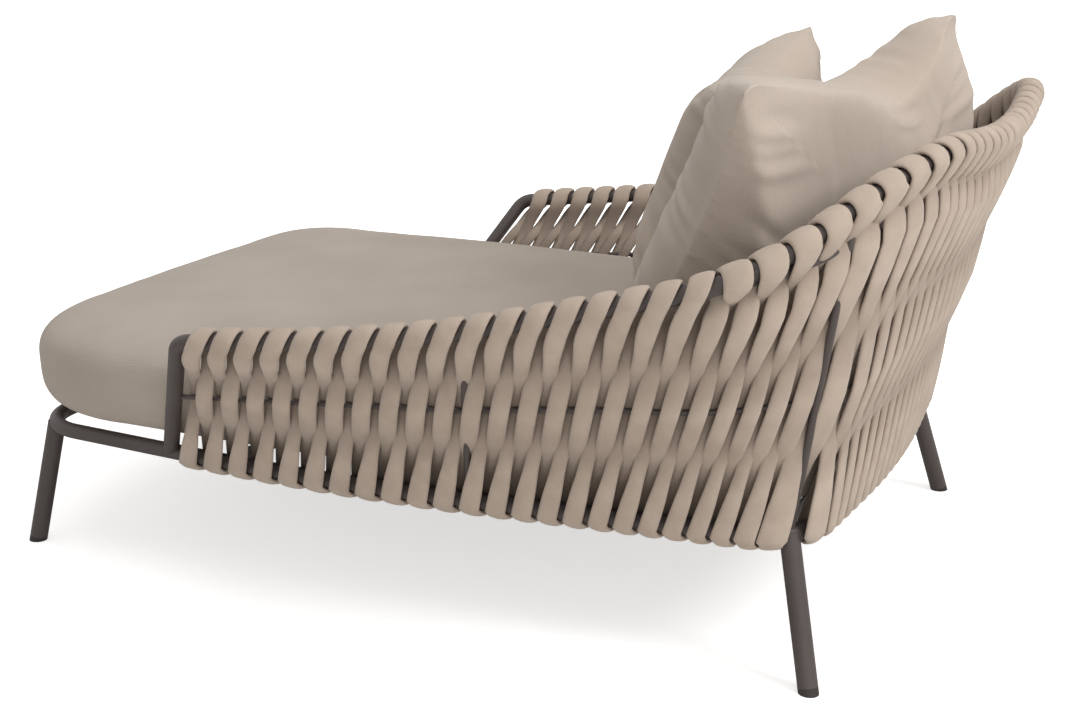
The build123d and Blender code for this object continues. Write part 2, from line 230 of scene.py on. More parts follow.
@dataclass(frozen=True)
class WovenWebbing:
    """Padded outdoor belt woven from spun olefin: matt, with fine ribs along its length, soft mottling and painted
    shade on the strands that run inside the wall.
    """

    name: str = "woven_olefin_webbing"
    dark: str = "b09f90"
    light: str = "c4b4a5"
    # Painted shade: strands inside the wall are darkened towards this colour, by this share.
    painted_shade_colour: str = "54443a"
    painted_shade_strength: float = 0.85
    thread: float = 0.0022
    roughness: float = 0.9

    def material(self) -> bpy.types.Material:
        """Builds the webbing on the belt's own map in metres; its ribs are drawn twice as coarse as the real ones.

        Returns:
            The material.
        """
        webbing = new_material(self.name)
        place = add_node(webbing, "ShaderNodeTexCoord", {})
        ribs = {"Scale": WAVE_PERIOD / self.thread, "Distortion": 0.6, "Detail": 1.0, "Detail Scale": 2.0}
        waves = [add_node(webbing, "ShaderNodeTexWave", {"bands_direction": direction, **ribs},
                          {"Vector": place.outputs["UV"]}).outputs["Fac"] for direction in ("X", "Y")]
        weave = add_node(webbing, "ShaderNodeMath", {"operation": "MULTIPLY"}, dict(enumerate(waves)))
        cloud = add_node(webbing, "ShaderNodeTexNoise", {"Scale": 22.0, "Detail": 4.0},
                         {"Vector": place.outputs["Object"]})
        tone = add_node(webbing, "ShaderNodeMath", {"operation": "MULTIPLY_ADD", 1: 0.25},
                        {0: weave.outputs["Value"], 2: cloud.outputs["Fac"]})
        # Painted shade: the inside attribute darkens the strands that run inside the wall, where the gaps between
        # belts lie in shade.
        inside = add_node(webbing, "ShaderNodeAttribute", {"attribute_name": "inside"})
        painted_shade_amount = add_node(webbing, "ShaderNodeMath", {"operation": "MULTIPLY", 1: self.painted_shade_strength},
                        {0: inside.outputs["Fac"]})
        unshaded_colour = two_tones(webbing, self.dark, self.light, tone.outputs["Value"])
        colour = add_node(webbing, "ShaderNodeMix", {"data_type": "RGBA", "B": linear(self.painted_shade_colour)},
                          {"Factor": painted_shade_amount.outputs["Value"], "A": unshaded_colour})
        return finish_surface(webbing, colour.outputs[2], weave.outputs["Value"],
                              {"Strength": 0.5, "Distance": 0.0006},
                              {"Roughness": self.roughness, "IOR": 1.45, "Specular IOR Level": 0.25,
                               "Sheen Weight": 0.15, "Sheen Roughness": 0.5})


@dataclass(frozen=True)
class PlainWeave:
    """Plain-woven solution-dyed acrylic: matt, heathered in two close tones, with a fine even thread."""

    name: str
    dark: str
    light: str
    thread: float = 0.0024
    roughness: float = 0.92

    def material(self) -> bpy.types.Material:
        """Builds the cloth; its threads are drawn twice as coarse as the real ones so that they show close up.

        Returns:
            The material.
        """
        cloth = new_material(self.name)
        place = add_node(cloth, "ShaderNodeTexCoord", {}).outputs["Object"]
        threads = {"Scale": WAVE_PERIOD / self.thread, "Distortion": 1.2, "Detail": 1.0, "Detail Scale": 1.5}
        waves = [add_node(cloth, "ShaderNodeTexWave", {"bands_direction": direction, **threads},
                          {"Vector": place}).outputs["Fac"] for direction in ("X", "Y", "Z")]
        pair = add_node(cloth, "ShaderNodeMath", {"operation": "ADD"}, {0: waves[0], 1: waves[1]})
        weave = add_node(cloth, "ShaderNodeMath", {"operation": "ADD"}, {0: pair.outputs["Value"], 1: waves[2]})
        heather = add_node(cloth, "ShaderNodeTexNoise", {"Scale": 180.0, "Detail": 3.0, "Roughness": 0.6},
                           {"Vector": place})
        cloud = add_node(cloth, "ShaderNodeTexNoise", {"Scale": 5.0, "Detail": 2.0}, {"Vector": place})
        tone = add_node(cloth, "ShaderNodeMath", {"operation": "MULTIPLY_ADD", 1: 0.45},
                        {0: heather.outputs["Fac"], 2: cloud.outputs["Fac"]})
        even = add_node(cloth, "ShaderNodeMath", {"operation": "SUBTRACT", 1: 0.22}, {0: tone.outputs["Value"]})
        colour = two_tones(cloth, self.dark, self.light, even.outputs["Value"])
        return finish_surface(cloth, colour, weave.outputs["Value"], {"Strength": 0.35, "Distance": 0.0005},
                              {"Roughness": self.roughness, "IOR": 1.45, "Specular IOR Level": 0.2,
                               "Sheen Weight": 0.2, "Sheen Roughness": 0.5})


def select_only(piece: bpy.types.Object) -> None:
    """Selects one object and makes it active.

    Args:
        piece: the object.
    """
    bpy.ops.object.select_all(action="DESELECT")
    piece.select_set(True)
    bpy.context.view_layer.objects.active = piece


def coordinates(piece: bpy.types.Object) -> np.ndarray:
    """Reads a mesh's vertices.

    Args:
        piece: the mesh object.

    Returns:
        Rows of x, y and z.
    """
    flat = np.empty(len(piece.data.vertices) * 3)
    piece.data.vertices.foreach_get("co", flat)
    return flat.reshape(-1, 3)


def place_vertices(piece: bpy.types.Object, places: np.ndarray) -> None:
    """Moves a mesh's vertices to the given rows of x, y and z."""
    piece.data.vertices.foreach_set("co", places.ravel())
    piece.data.update()


def apply_modifier(piece: bpy.types.Object, kind: str, **settings: object) -> None:
    """Adds a modifier with its settings and applies it.

    Args:
        piece: the mesh object.
        kind: the modifier's type.
        settings: its attributes by name.
    """
    select_only(piece)
    modifier = piece.modifiers.new(kind.lower(), kind)
    for name, value in settings.items():
        setattr(modifier, name, value)
    bpy.ops.object.modifier_apply(modifier=modifier.name)


def loose_copy(node: bpy.types.Object, name: str) -> bpy.types.Object:
    """Copies a CAD node's form into a new object with a closed mesh.

    Args:
        node: the CAD node, which stays as it is.
        name: the new object's name.

    Returns:
        The new object.
    """
    piece = bpy.data.objects.new(name, node.data.copy())
    bpy.context.collection.objects.link(piece)
    select_only(piece)
    bpy.ops.object.mode_set(mode="EDIT")
    bpy.ops.mesh.select_all(action="SELECT")
    bpy.ops.mesh.remove_doubles(threshold=0.00005)
    bpy.ops.object.mode_set(mode="OBJECT")
    return piece


def dress(piece: bpy.types.Object, material: bpy.types.Material, body: str, nodes: list[str]) -> None:
    """Gives a finished piece its material, slot, body and the nodes that it stands for.

    Args:
        piece: the finished mesh.
        material: what it is made of.
        body: the body that it rides on.
        nodes: the CAD nodes that it replaces.
    """
    piece.data.materials.clear()
    piece.data.materials.append(material)
    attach(piece, body)
    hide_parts(*nodes)
    LOG.info("%s: %d faces", piece.name, len(piece.data.polygons))


@dataclass
class RailLine:
    """A rail's centre line: straight runs joined by arcs, as close points with the distance along it to each."""

    points: np.ndarray
    distances: np.ndarray
    bends: list[tuple[float, float]]

    gentle_share: ClassVar[float] = 0.45
    steps: ClassVar[int] = 28
    direction_step: ClassVar[float] = 0.004

    @classmethod
    def bend(cls, before: Vector, corner: Vector, after: Vector, radius: float | None) -> list[Vector]:
        """Points on the arc that rounds a corner.

        Args:
            before: the corner ahead of it.
            corner: the corner.
            after: the next corner.
            radius: the arc's radius, or None for a long gentle one.

        Returns:
            The arc's points, first to last.
        """
        back = (before - corner).normalized()
        ahead = (after - corner).normalized()
        turn = math.pi - back.angle(ahead)
        if radius is None:
            run = min((before - corner).length, (after - corner).length)
            radius = cls.gentle_share * run / math.tan(turn / 2)
        centre = corner + (back + ahead).normalized() * (radius / math.cos(turn / 2))
        reach = radius * math.tan(turn / 2)
        first = corner + back * reach - centre
        last = corner + ahead * reach - centre
        shares = [step / cls.steps for step in range(cls.steps + 1)]
        return [centre + (first * math.sin((1 - share) * turn) + last * math.sin(share * turn)) / math.sin(turn)
                for share in shares]

    @classmethod
    def through(cls, corners: list[Vector], radii: list[float | None], closed: bool) -> "RailLine":
        """Joins corners by runs and arcs.

        Args:
            corners: the corners in order.
            radii: an arc's radius for each corner of a ring, or for each inner corner of an open line.
            closed: whether the line is a ring, which then starts where its first corner's arc ends.

        Returns:
            The line.
        """
        count = len(corners)
        turning = [(number + 1) % count for number in range(count)] if closed else list(range(1, count - 1))
        points = [] if closed else [corners[0]]
        spans = []
        for order, number in enumerate(turning):
            radius = radii[number] if closed else radii[order]
            arc = cls.bend(corners[number - 1], corners[number], corners[(number + 1) % count], radius)
            spans.append((len(points), len(points) + len(arc) - 1))
            points += arc
        points = [points[-1]] + points if closed else points + [corners[-1]]
        shift = 1 if closed else 0
        rows = np.array([tuple(point) for point in points])
        distances = np.concatenate([[0.0], np.cumsum(np.linalg.norm(np.diff(rows, axis=0), axis=1))])
        return cls(rows, distances, [(distances[first + shift], distances[last + shift]) for first, last in spans])

    def at(self, distance: float) -> Vector:
        """The point at a distance along the line."""
        return Vector([float(np.interp(distance, self.distances, self.points[:, axis])) for axis in range(3)])

    def direction(self, distance: float) -> Vector:
        """The line's direction at a distance along it."""
        return (self.at(distance + self.direction_step) - self.at(distance - self.direction_step)).normalized()


def half_and_mirror(corners: list[tuple[float, float, float]], closed: bool) -> list[Vector]:
    """Completes the left half of a line by its mirror image.

    Args:
        corners: the left half's corners, of which the last lies on the middle plane.
        closed: whether the line is a ring, whose first corner lies there too.

    Returns:
        All the corners.
    """
    left = [Vector(corner) for corner in corners]
    images = [Vector((-point.x, point.y, point.z)) for point in left]
    return left + (images[-2:0:-1] if closed else images[-2::-1])


@dataclass
class WovenWall:
    """The low wall round the seat: closed belts woven over the base ring, the thin rails and the top rail."""

    base_height: float = 0.250
    base_front_reach: float = 0.860
    base_front_bow: float = 0.022
    base_front_half_width: float = 0.515
    base_side_half_width: float = 0.570
    base_side_reach: float = 0.115
    base_back_half_width: float = 0.487
    base_back_reach: float = 0.760
    base_back_bow: float = 0.040
    base_corner_radius: float = 0.118
    post_setback: float = 0.240
    post_bend_radius: float = 0.042
    arm_half_width: float = 0.715
    arm_front: tuple[float, float] = (-0.335, 0.526)
    arm_middle: tuple[float, float] = (0.118, 0.579)
    climb_start: tuple[float, float] = (0.691, 0.733)
    climb_end: tuple[float, float, float] = (0.511, 0.900, 0.907)
    back_reach: float = 0.937
    back_height: float = 0.864
    climb_bend_radius: float = 0.330
    leg_diameter: float = 0.035
    belts_per_half: int = 34
    belts_ahead_of_leg: int = 24
    belt_base_setback: float = 0.054
    belt_top_setback: float = 0.012
    belt_crowding_share: float = 0.2
    belt_leg_gap: float = 0.002
    arm_belts: int = 17
    corner_belts: int = 10
    first_raised_belt: int = 18
    gap_width: float = 0.032
    widest_pitch: float = 0.053
    base_fill: float = 0.78
    crossing_fill: float = 0.57
    hidden_fill: float = 0.50
    lens_fill: float = 0.70
    arm_top_fill: float = 0.78
    waist_share: float = 0.16
    raised_top_fills: tuple[tuple[float, float], ...] = ((18, 0.90), (22, 0.86), (25, 0.76), (34, 0.74))
    thickness: float = 0.0115
    rail_hold: float = 0.0206
    middle_hold: float = 0.0105
    upper_hold: float = 0.0145
    straightness: float = 0.35
    turn_lead: float = 0.14
    turn_run: float = 0.12
    lean_share: float = 0.3
    leg_belt_step: float = 0.05
    middle_cross: float = 0.9
    collar_fill: float = 0.80
    # Share of the wall's height under the top rail where the belts get no painted shade.
    unshaded_top_share: float = 0.09
    corner_spread: float = 0.28
    spread_centre: float = 23.2
    spread_reach: float = 1.8
    strand_points: int = 24
    turn_points: int = 7
    section: tuple[tuple[float, float], ...] = (
        (1.0, 0.0), (0.95, 0.36), (0.80, 0.66), (0.48, 0.91), (0.0, 1.0), (-0.48, 0.91), (-0.80, 0.66), (-0.95, 0.36),
        (-1.0, 0.0), (-0.95, -0.36), (-0.80, -0.66), (-0.48, -0.91), (0.0, -1.0), (0.48, -0.91), (0.80, -0.66),
        (0.95, -0.36), (1.0, 0.0))
    middle_row: tuple[tuple[float, float], ...] = (
        (0, 0.565), (4, 0.565), (8, 0.56), (12, 0.54), (15.5, 0.52), (18, 0.49), (20, 0.455), (21.5, 0.435),
        (24.5, 0.43), (26, 0.445), (28, 0.465), (31, 0.475), (34, 0.48))
    upper_row: tuple[tuple[float, float], ...] = (
        (17.5, 0.88), (18.3, 0.87), (19.2, 0.82), (20, 0.795), (20.6, 0.79), (21.5, 0.82), (22.5, 0.845), (24, 0.86),
        (26, 0.85), (29, 0.84), (34, 0.835))
    base: RailLine = field(init=False)
    top: RailLine = field(init=False)

    def __post_init__(self) -> None:
        """Lays out the base ring and the top rail, as the tubes run."""
        ring = half_and_mirror([
            (0, -self.base_front_reach, self.base_height),
            (self.base_front_half_width, self.base_front_bow - self.base_front_reach, self.base_height),
            (self.base_side_half_width, -self.base_side_reach, self.base_height),
            (self.base_back_half_width, self.base_back_reach - self.base_back_bow, self.base_height),
            (0, self.base_back_reach, self.base_height)], closed=True)
        self.base = RailLine.through(ring, [None, self.base_corner_radius] * 4, True)
        foot = self.base.at(self.base.bends[0][1] + self.post_setback)
        rail = half_and_mirror([
            tuple(foot), (self.arm_half_width, *self.arm_front), (self.arm_half_width, *self.arm_middle),
            (self.arm_half_width, *self.climb_start), self.climb_end,
            (0, self.back_reach, self.back_height)], closed=False)
        half = [self.post_bend_radius, None, self.climb_bend_radius, self.climb_bend_radius]
        self.top = RailLine.through(rail, half + [None] + half[::-1], False)

    def base_distance(self, index: float) -> float:
        """Finds where a belt crosses the base ring; the leg parts two belts.

        Args:
            index: the belt's place along the wall.

        Returns:
            Distance along the ring.
        """
        leg = sum(self.base.bends[2]) / 2
        half_gap = (self.leg_diameter + self.gap_width) / 2 + self.belt_leg_gap
        last_ahead = self.belts_ahead_of_leg - 1
        if index > self.belts_ahead_of_leg:
            start = leg + half_gap
            share = (index - self.belts_ahead_of_leg) / (self.belts_per_half - self.belts_ahead_of_leg)
            return start + (sum(self.base.bends[3]) / 2 - start) * share
        if index > last_ahead:
            return leg + half_gap * (2 * (index - last_ahead) - 1)
        first = self.base.bends[0][1] + self.post_setback + self.belt_base_setback
        share = index / last_ahead
        share += self.belt_crowding_share * share * (1 - share)
        return first + (leg - half_gap - first) * share

    def top_distance(self, index: float) -> float:
        """Distance along the top rail to a belt."""
        first = self.top.bends[0][1] + self.belt_top_setback
        return first + (self.top.distances[-1] / 2 - first) * index / self.belts_per_half

    def pitch(self, index: float, share: float) -> float:
        """Measures how far apart the belts stand.

        Args:
            index: the place along the wall.
            share: share of the wall's height.

        Returns:
            Distance between two belts, up to the widest pitch.
        """
        before = self.frame_at(index - 0.5, index - 0.5, share)[0]
        after = self.frame_at(index + 0.5, index + 0.5, share)[0]
        return min((after - before).length, self.widest_pitch)

    def raised_top_fill(self, index: float) -> float:
        """Share of the pitch that a belt fills where it turns over the raised rail."""
        return float(np.interp(index, *zip(*self.raised_top_fills)))

    def rows(self, index: float, strand: Strand) -> list[tuple[float, float, float]]:
        """Where a strand passes each rail.

        Args:
            index: the belt's place along the wall.
            strand: which side of the loop.

        Returns:
            Height share, distance outwards from the rail's centre line and share of the pitch that it fills.
        """
        out = strand.value
        seen = strand is Strand.OUTER
        middle = float(np.interp(index, *zip(*self.middle_row)))
        rows = [(0.0, out * self.rail_hold, self.base_fill),
                (middle, -out * self.middle_hold, self.hidden_fill if seen else self.lens_fill)]
        if index < self.first_raised_belt:
            return rows + [(1.0, out * self.rail_hold, self.arm_top_fill)]
        upper = float(np.interp(index, *zip(*self.upper_row)))
        return rows + [(upper, out * self.upper_hold, self.collar_fill if seen else self.hidden_fill),
                       (1.0, -out * self.rail_hold, self.raised_top_fill(index))]

    def frame_at(self, low_index: float, high_index: float, share: float) -> tuple[Vector, Vector, Vector, Vector]:
        """The wall's place and directions at a height.

        Args:
            low_index: the belt's place along the base ring.
            high_index: the belt's place along the top rail.
            share: share of the wall's height.

        Returns:
            The point, and the directions across the belt, up and outwards.
        """
        low = self.base.at(self.base_distance(low_index))
        high = self.top.at(self.top_distance(high_index))
        low_run = self.base.direction(self.base_distance(low_index))
        high_run = self.top.direction(self.top_distance(high_index))
        across = low_run.lerp(high_run, share).normalized()
        up = (high - low).normalized()
        outward = across.cross(up).normalized()
        return low.lerp(high, share), across, outward.cross(across).normalized(), outward

    def strand_course(self, index: float, low_index: float, strand: Strand) -> list[tuple[Vector, Vector, float]]:
        """One strand, from the base ring to the top rail.

        Args:
            index: its place along the wall.
            low_index: its place along the base ring.
            strand: which side of the loop.

        Returns:
            Point, direction across and half width at each step.
        """
        rows = self.rows(index, strand)
        if index == self.belts_per_half and strand is Strand.INNER:
            hold = self.rail_hold
            fill = self.hidden_fill
            rows = [(0.0, -hold, fill), (self.middle_cross, -hold, fill), (1.0, hold, fill)]
        spans = len(rows) - 1
        course = []
        for number, ((low, first, low_fill), (high, last, high_fill)) in enumerate(zip(rows, rows[1:])):
            steps = self.strand_points // spans
            for step in range(1 if number else 0, steps + 1):
                share = step / steps
                eased = share - self.straightness * math.sin(2 * math.pi * share) / (2 * math.pi)
                height = low + (high - low) * share
                lead = strand.value * self.turn_lead * max(0.0, 1 - (1 - height) / self.turn_run) ** 2
                here = low_index + (index - low_index) * min(1.0, height / self.lean_share)
                point, across, up, outward = self.frame_at(here, index + lead, height)
                fill = low_fill + (high_fill - low_fill) * share * share * (3 - 2 * share)
                if first * last < 0:
                    waist = math.exp(-((share - 0.5) / self.waist_share) ** 2)
                    fill += (self.crossing_fill - fill) * waist
                fill *= 1 + self.corner_spread * math.exp(
                    -((index - self.spread_centre) / self.spread_reach) ** 2)
                width = fill * self.pitch(index, height)
                course.append((point + outward * (first + (last - first) * eased), across, width / 2))
        return course

    def turn_course(self, start: tuple[float, float], end: tuple[float, float], share: int,
                    side: float) -> list[tuple[Vector, Vector, float]]:
        """The half circle round a rail that joins one strand to the other.

        Args:
            start: places along the base ring and top rail where it starts.
            end: the same where it ends.
            share: 0 at the base ring, 1 at the top rail.
            side: 1 where it starts outside the rail, -1 where it starts inside.

        Returns:
            Point, direction across and half width at each step.
        """
        fill = self.base_fill
        if share:
            fill = self.raised_top_fill(start[1]) if side < 0 else self.arm_top_fill
        width = fill * self.pitch((start[1] + end[1]) / 2, share)
        course = []
        for step in range(1, self.turn_points + 1):
            part = step / (self.turn_points + 1)
            angle = math.pi * part
            low_index = start[0] + (end[0] - start[0]) * part
            high_index = start[1] + (end[1] - start[1]) * part
            point, across, up, outward = self.frame_at(low_index, high_index, share)
            lift = -up
            if share:
                run = point - self.base.at(self.base_distance(low_index))
                lift = run / run.dot(up)
            place = point + (outward * (side * math.cos(angle)) + lift * math.sin(angle)) * self.rail_hold
            course.append((place, across, width / 2))
        return course

    def belt_course(self, index: int) -> list[tuple[Vector, Vector, float]]:
        """A whole belt: up one strand, over the top rail, down the other and under the base ring.

        Args:
            index: the belt's number, counted from the wall's front edge.

        Returns:
            Point, direction across and half width at each step round the loop.
        """
        middle = index == self.belts_per_half
        other = index if middle else index + 0.5
        other_low = index + self.leg_belt_step if index == self.belts_ahead_of_leg - 1 else other
        outer = self.strand_course(index, index, Strand.OUTER)
        inner = self.strand_course(other, other_low, Strand.INNER)
        raised = index >= self.first_raised_belt
        lead = 0.0 if middle else self.turn_lead
        over = self.turn_course((index, index + lead), (other, other - lead), 1, -1.0 if raised else 1.0)
        under = self.turn_course((other_low, other), (index, index), 0, -1.0)
        return outer + over + inner[::-1] + under

    def belt(self, sheet: bpy.types.Object, index: int) -> bpy.types.Object:
        """Lays a copy of the flat belt sheet along its course.

        Args:
            sheet: a flat grid, one column for each point of the section and one row for each step of the loop.
            index: the belt's number.

        Returns:
            The belt as a new object.
        """
        piece = sheet.copy()
        piece.data = sheet.data.copy()
        bpy.context.collection.objects.link(piece)
        course = self.belt_course(index)
        points = np.array([tuple(point) for point, across, half_width in course])
        across = np.array([tuple(across) for point, across, half_width in course])
        half_widths = np.array([half_width for point, across, half_width in course])
        depths = self.depths(index, points)
        runs = np.roll(points, -1, axis=0) - np.roll(points, 1, axis=0)
        normals = np.cross(across, runs)
        normals /= np.linalg.norm(normals, axis=1)[:, None]
        flat = coordinates(piece)
        columns = np.rint((flat[:, 0] + 0.5) * (len(self.section) - 1)).astype(int)
        rows = np.rint((flat[:, 1] + 0.5) * len(course)).astype(int) % len(course)
        section = np.array(self.section)[columns]
        places = points[rows] + across[rows] * (section[:, 0] * half_widths[rows])[:, None]
        places += normals[rows] * (section[:, 1] * self.thickness / 2)[:, None]
        place_vertices(piece, places)
        # The inside attribute carries the painted shade of the strands inside the wall.
        depth = piece.data.attributes.new("inside", "FLOAT", "POINT")
        depth.data.foreach_set("value", depths[rows])
        length = float(np.linalg.norm(np.roll(points, -1, axis=0) - points, axis=1).sum())
        around = 2 * (self.base_fill * self.widest_pitch + self.thickness)
        for corner in piece.data.uv_layers[0].data:
            corner.uv = (corner.uv[0] * around, corner.uv[1] * length)
        return piece

    def depths(self, index: int, points: np.ndarray) -> np.ndarray:
        """Measures how far each step of a belt lies inside the wall, which sets how much painted shade its webbing
        gets.

        Args:
            index: the belt's number.
            points: the steps' places.

        Returns:
            0 outside and over the top rail, up to 1 inside.
        """
        low = np.array(self.frame_at(index, index, 0.0)[0])
        high = np.array(self.frame_at(index, index, 1.0)[0])
        outward = np.array(self.frame_at(index, index, 0.5)[3])
        run = high - low
        shares = np.clip((points - low) @ run / (run @ run), 0, 1)
        offsets = (points - low - shares[:, None] * run) @ outward
        # The painted shade fades out towards the top rail.
        below = np.clip((1 - shares) / self.unshaded_top_share, 0, 1)
        return below * np.clip((self.middle_hold - offsets) / (self.middle_hold + self.rail_hold), 0, 1)

    def flat_sheet(self) -> bpy.types.Object:
        """Adds the flat grid that every belt is a copy of.

        Returns:
            The grid.
        """
        rows = 2 * (self.strand_points + 1 + self.turn_points)
        bpy.ops.object.select_all(action="DESELECT")
        bpy.ops.mesh.primitive_grid_add(x_subdivisions=len(self.section) - 1, y_subdivisions=rows, size=1)
        sheet = bpy.context.active_object
        select_only(sheet)
        return sheet

    def joined(self, belts: list[bpy.types.Object], name: str) -> bpy.types.Object:
        """Joins belts into one piece and closes their seams.

        Args:
            belts: the belts.
            name: the new piece's name.

        Returns:
            The piece.
        """
        select_only(belts[0])
        for belt in belts:
            belt.select_set(True)
        bpy.ops.object.join()
        piece = bpy.context.active_object
        piece.name = name
        bpy.ops.object.mode_set(mode="EDIT")
        bpy.ops.mesh.select_all(action="SELECT")
        bpy.ops.mesh.remove_doubles(threshold=0.00001)
        bpy.ops.mesh.normals_make_consistent(inside=False)
        bpy.ops.object.mode_set(mode="OBJECT")
        bpy.ops.object.shade_smooth()
        return piece

    def mirror_image(self, belt: bpy.types.Object) -> bpy.types.Object:
        """Copies a belt to the other side of the middle plane, with a mesh of its own.

        Args:
            belt: the belt on the sitter's left.

        Returns:
            Its mirror image on the sitter's right.
        """
        image = belt.copy()
        image.data = belt.data.copy()
        bpy.context.collection.objects.link(image)
        places = coordinates(image)
        places[:, 0] *= -1
        place_vertices(image, places)
        image.data.flip_normals()
        return image

    def build(self, material: bpy.types.Material) -> None:
        """Weaves the whole wall, in the five groups of belts that the frame has.

        Args:
            material: the belts' webbing.
        """
        sheet = self.flat_sheet()
        left = [self.belt(sheet, index) for index in range(self.belts_per_half)]
        right = [self.mirror_image(belt) for belt in left]
        middle = self.belt(sheet, self.belts_per_half)
        bpy.data.objects.remove(sheet)
        corner_end = self.arm_belts + self.corner_belts
        groups = {"back": left[corner_end:] + [middle] + right[corner_end:]}
        for half, belts in ((Half.LEFT, left), (Half.RIGHT, right)):
            side = half.name.lower()
            groups[side + "_arm"] = belts[:self.arm_belts]
            groups[side + "_corner"] = belts[self.arm_belts:corner_end]
        for name, belts in groups.items():
            piece = self.joined(belts, name + "_weave")
            dress(piece, material, "frame", [name + "_belts"])


@dataclass(frozen=True)
class Filling:
    """Stuffing that swells a sewn cover: cloth under a little pressure, with no weight of its own."""

    pressure: float
    frames: int
    stiffness: float = 15.0
    bending: float = 0.5
    quality: int = 5
    mass: float = 0.3
    cap: float | None = None

    def swell(self, piece: bpy.types.Object) -> None:
        """Blows up a closed cover and keeps the result in its mesh.

        Args:
            piece: the cover.
        """
        scene = bpy.context.scene
        start = coordinates(piece)
        select_only(piece)
        cloth = piece.modifiers.new("filling", "CLOTH")
        cloth.settings.quality = self.quality
        cloth.settings.mass = self.mass
        cloth.settings.tension_stiffness = self.stiffness
        cloth.settings.compression_stiffness = self.stiffness
        cloth.settings.shear_stiffness = self.stiffness / 3
        cloth.settings.bending_stiffness = self.bending
        cloth.settings.use_pressure = True
        cloth.settings.uniform_pressure_force = self.pressure
        cloth.settings.effector_weights.gravity = 0
        cloth.collision_settings.use_collision = False
        cloth.collision_settings.use_self_collision = False
        cloth.point_cache.frame_start = 1
        cloth.point_cache.frame_end = self.frames
        for frame in range(1, self.frames + 1):
            scene.frame_set(frame)
        bpy.ops.object.modifier_apply(modifier=cloth.name)
        scene.frame_set(1)
        if self.cap is not None:
            moves = coordinates(piece) - start
            lengths = np.linalg.norm(moves, axis=1)
            moves *= np.minimum(1.0, self.cap / np.maximum(lengths, 1e-9))[:, None]
            place_vertices(piece, start + moves)


@dataclass
class SeatCushion:
    """The thick seat cushion: one smooth block of foam in a cover, rounded all round."""

    voxel: float = 0.016
    smoothing: int = 4
    lower_fullness: float = 0.48
    filling: Filling = Filling(pressure=4.0, frames=20, cap=0.014)

    def build(self, node: bpy.types.Object, material: bpy.types.Material) -> bpy.types.Object:
        """Makes the cushion from its CAD form.

        Args:
            node: the CAD node.
            material: its fabric.

        Returns:
            The cushion.
        """
        cushion = loose_copy(node, "seat_cushion_cover")
        apply_modifier(cushion, "REMESH", mode="VOXEL", voxel_size=self.voxel)
        apply_modifier(cushion, "SMOOTH", factor=0.5, iterations=self.smoothing)
        self.filling.swell(cushion)
        apply_modifier(cushion, "SUBSURF", levels=1, render_levels=1)
        place_vertices(cushion, self.fitted(coordinates(cushion)))
        select_only(cushion)
        bpy.ops.object.shade_smooth()
        dress(cushion, material, "cushion", ["seat_cushion"])
        return cushion

    def fitted(self, places: np.ndarray) -> np.ndarray:
        """Brings the cushion to its CAD box and fills out its lower edge, which the deck presses square.

        Args:
            places: the vertices.

        Returns:
            The moved vertices.
        """
        lowest, highest = (np.array(corner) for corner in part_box("seat_cushion"))
        places = (places - places.min(axis=0)) * (highest - lowest) / np.ptp(places, axis=0) + lowest
        middle = (lowest[2] + highest[2]) / 2
        sunk = np.clip((middle - places[:, 2]) / (middle - lowest[2]), 0, 1)
        lower = middle - (middle - lowest[2]) * sunk ** self.lower_fullness
        places[:, 2] = np.where(sunk > 0, lower, places[:, 2])
        return places


@dataclass(frozen=True)
class Crease:
    """A soft fold in a pillow's face, which is the back face where its depth is negative."""

    start: tuple[float, float]
    end: tuple[float, float]
    depth: float
    breadth: float = 0.014
    bank_height: ClassVar[float] = 0.6
    bank_place: ClassVar[float] = 1.9
    bank_breadth: ClassVar[float] = 1.2
    end_share: ClassVar[float] = 0.04

    def fold(self, places: np.ndarray, half: np.ndarray, rise: np.ndarray) -> np.ndarray:
        """Presses a groove with a low bank on one side; its ends are shares of half width and half height.

        Args:
            places: the vertices in the pillow's own frame.
            half: half the pillow's width, height and thickness.
            rise: 1 on the front face and -1 on the back one, less beside the seam.

        Returns:
            Each vertex's move along the thickness.
        """
        start = np.array(self.start) * half[:2]
        run = np.array(self.end) * half[:2] - start
        length = math.hypot(*run)
        part = ((places[:, :2] - start) @ run) / (run @ run)
        side = (places[:, :2] - start - np.clip(part, 0, 1)[:, None] * run) @ np.array([-run[1], run[0]])
        side /= length * self.breadth
        beyond = np.maximum(0, np.abs(part - 0.5) - 0.5) * length
        fade = np.sin(np.pi * np.clip(part, self.end_share, 1 - self.end_share))
        fade *= np.exp(-(beyond / self.breadth) ** 2)
        bank = self.bank_height * np.exp(-((side - self.bank_place) / self.bank_breadth) ** 2)
        facing = np.clip(-rise if self.depth < 0 else rise, 0, 1)
        return np.sign(rise) * abs(self.depth) * facing * fade * (bank - np.exp(-side ** 2))


@dataclass(frozen=True)
class Pull:
    """A soft shift of part of a pillow, centred at shares of its half width and half height."""

    place: tuple[float, float]
    move: tuple[float, float, float]
    reach: float


